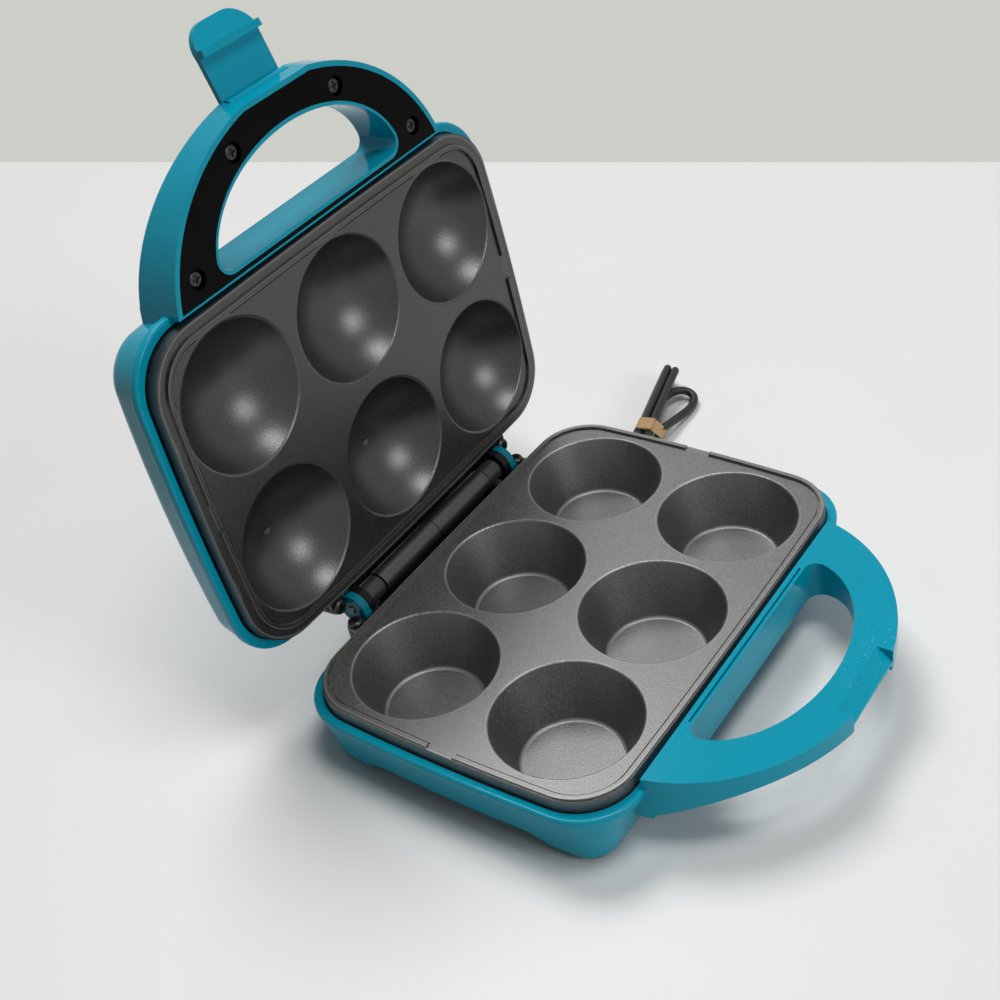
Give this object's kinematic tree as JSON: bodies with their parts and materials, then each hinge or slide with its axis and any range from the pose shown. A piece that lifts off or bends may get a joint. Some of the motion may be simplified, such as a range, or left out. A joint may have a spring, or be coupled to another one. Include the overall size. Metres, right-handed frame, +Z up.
{
  "type": "cupcake maker",
  "caption": "Countertop electric cake maker: teal clamshell housing with a hinged lid, flat-bottomed cups below, domes above, loop handles, a latch and a tied mains cord.",
  "frame": {"origin": "on the bench, under the middle of the cup grid and of the base with its handle and the open lid", "axes": "+Z up; +X along the hinge line, to the right when facing the handles; -Y towards the handles, +Y towards the hinge"},
  "size_m": [0.3, 0.26, 0.2696],
  "materials": {
    "teal_plastic": "smooth moulded teal with a soft shine",
    "nonstick_plate": "fine speckled dark grey non-stick coating",
    "gloss_black": "polished black",
    "black_plastic": "fine matt texture",
    "collar_plastic": "satin dark grey",
    "element_sheath": "heat-darkened tube",
    "aluminised_sheet": "dull rolled sheet",
    "plated_screw": "zinc plated",
    "black_screw": "black oxide",
    "pin_steel": "ground bright",
    "control_metal": "drawn can",
    "fuse_can": "drawn can",
    "ceramic_block": "unglazed ceramic",
    "lead_insulation": "silicone insulation",
    "lead_sleeve": "braided glass sleeve",
    "foot_rubber": "soft matt",
    "cord_rubber": "smooth flexible sheath",
    "tie_paper": "kraft paper",
    "blade_brass": "plated flat blade",
    "lens_red": "clear tinted lens",
    "lens_green": "clear tinted lens",
    "lamp_glass": "clear"
  },
  "bodies": {
    "base": {"base_housing": "teal_plastic", "lower_plate": "nonstick_plate", "lower_element": "element_sheath", "lower_reflector": "aluminised_sheet", "lower_reflector_screws": "plated_screw", "thermostat": "control_metal", "thermal_fuse": "fuse_can", "terminal_block": "ceramic_block", "terminal_block_screw": "plated_screw", "supply_leads": "lead_insulation", "lower_element_leads": "lead_insulation", "control_leads": "lead_insulation", "hinge_lead_base": "lead_sleeve", "bottom_cover": "black_plastic", "bottom_cover_screws": "plated_screw", "foot_pads": "foot_rubber", "lower_plate_screws": "black_screw", "base_hinge_bracket": "black_plastic", "base_bracket_screws": "plated_screw", "hinge_pins": "pin_steel", "hinge_collars": "collar_plastic", "strain_relief": "cord_rubber", "cord_inlet": "cord_rubber", "cord_clamp": "black_plastic", "cord_clamp_screws": "plated_screw", "cord_lead": "cord_rubber", "cord_hank": "cord_rubber", "cord_tail": "cord_rubber", "cord_tie": "tie_paper", "plug_body": "cord_rubber", "plug_blades": "blade_brass"},
    "lid": {"lid_housing": "teal_plastic", "upper_plate": "nonstick_plate", "upper_element": "element_sheath", "upper_reflector": "aluminised_sheet", "upper_reflector_screws": "plated_screw", "upper_plate_screws": "black_screw", "handle_cover": "gloss_black", "handle_cover_screws": "black_screw", "lid_hinge_bracket": "black_plastic", "lid_bracket_screws": "plated_screw", "hinge_lead_lid": "lead_sleeve", "upper_element_leads": "lead_insulation", "indicator_lens_red": "lens_red", "indicator_lens_green": "lens_green", "neon_lamps": "lamp_glass", "lamp_leads": "lead_insulation", "latch_pin": "pin_steel"},
    "latch": {"latch": "teal_plastic"}
  },
  "joints": [
    {"name": "lid_hinge", "type": "hinge", "parent": "base", "child": "lid", "pos_m": [0, 0.0814, 0.03615], "axis": [1, 0, 0], "range_deg": [0, 96]},
    {"name": "latch_hinge", "type": "hinge", "parent": "lid", "child": "latch", "pos_m": [0, 0.11469, 0.2424], "axis": [1, 0, 0], "range_deg": [0, 103]}
  ]
}
